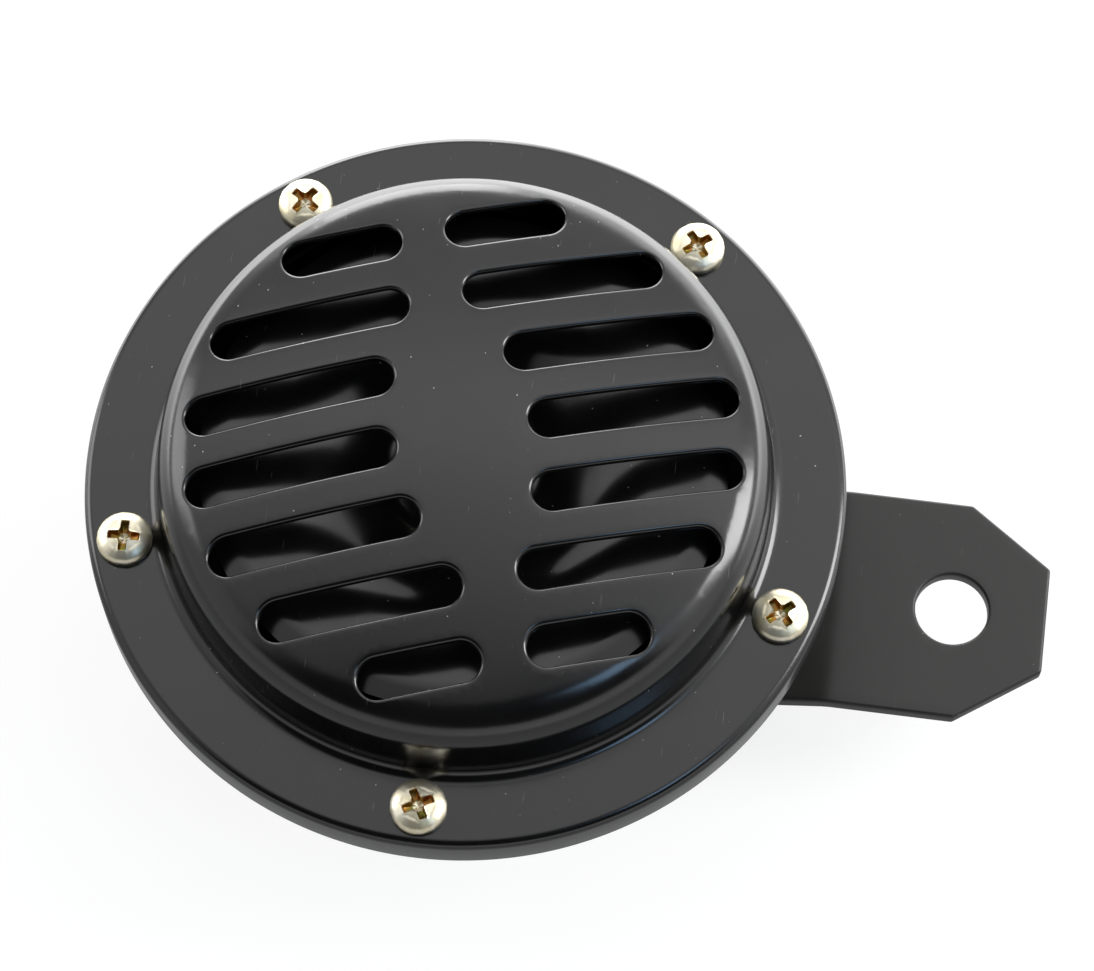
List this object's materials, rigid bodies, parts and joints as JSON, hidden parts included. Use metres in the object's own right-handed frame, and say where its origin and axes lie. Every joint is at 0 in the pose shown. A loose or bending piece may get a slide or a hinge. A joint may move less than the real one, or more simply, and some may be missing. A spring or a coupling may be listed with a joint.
{
  "type": "car horn",
  "caption": "Round electromagnetic disc horn for a road vehicle, with a domed slotted cover, a stepped rear can and a joggled mounting bracket",
  "frame": {"origin": "the centre of the bracket's bolt hole, on the back face of the bracket's tab, which is the face that rests on the vehicle", "axes": "+Z runs along the horn's axis, from the rear stud out through the slotted cover, and is parallel to the bolt hole; +X runs from the horn's axis out to the end of the bracket's tab; +Y is at right angles to both"},
  "size_m": [0.1424, 0.11, 0.0688],
  "materials": {
    "black_paint": "satin black baked paint",
    "bracket_paint": "black paint, flatter and slightly brown",
    "yellow_zinc": "yellow passivated zinc plating",
    "zinc": "bright zinc plating",
    "gasket_paper": "oiled gasket paper",
    "spring_steel": "bare spring steel",
    "magnetic_iron": "turned soft iron",
    "tone_disc_steel": "dark phosphated steel",
    "laminate": "brown phenolic laminate",
    "moulded_nylon": "natural moulded nylon",
    "phenolic": "dark moulded phenolic",
    "enamelled_wire": "enamelled copper wire",
    "tungsten": "tungsten",
    "terminal_brass": "bare brass"
  },
  "bodies": {
    "horn": {"front_cover": "black_paint", "cover_screws": "yellow_zinc", "front_gasket": "gasket_paper", "diaphragm": "spring_steel", "rear_gasket": "gasket_paper", "rear_housing": "black_paint", "pole_core": "magnetic_iron", "yoke_plate": "magnetic_iron", "yoke_rivets": "zinc", "coil_bobbin": "moulded_nylon", "coil_winding": "enamelled_wire", "moving_contact_arm": "spring_steel", "moving_contact_point": "tungsten", "fixed_contact_arm": "zinc", "fixed_contact_point": "tungsten", "contact_lower_insulator": "laminate", "contact_middle_insulator": "laminate", "contact_upper_insulator": "laminate", "contact_rivets": "terminal_brass", "adjusting_screw": "zinc", "adjusting_nut": "yellow_zinc", "terminal_block": "phenolic", "terminal_inner_plate": "laminate", "terminal_blade_live": "terminal_brass", "terminal_blade_earth": "terminal_brass", "terminal_rivet": "zinc", "coil_lead": "enamelled_wire", "contact_lead": "enamelled_wire", "return_lead": "enamelled_wire", "bracket": "bracket_paint", "bracket_washer": "zinc", "bracket_spring_washer": "zinc", "bracket_nut": "yellow_zinc"},
    "vibrating_unit": {"armature": "magnetic_iron", "armature_push_ring": "laminate", "tone_disc_spacer": "zinc", "tone_disc": "tone_disc_steel", "tone_disc_washer": "zinc", "tone_disc_nut": "yellow_zinc"}
  },
  "joints": [
    {"name": "diaphragm_travel", "type": "slide", "parent": "horn", "child": "vibrating_unit", "axis": [0, 0, 1], "range_m": [-0.00035, 0.00035], "stiffness_N_per_m": 20000, "deforming": ["diaphragm"]}
  ]
}
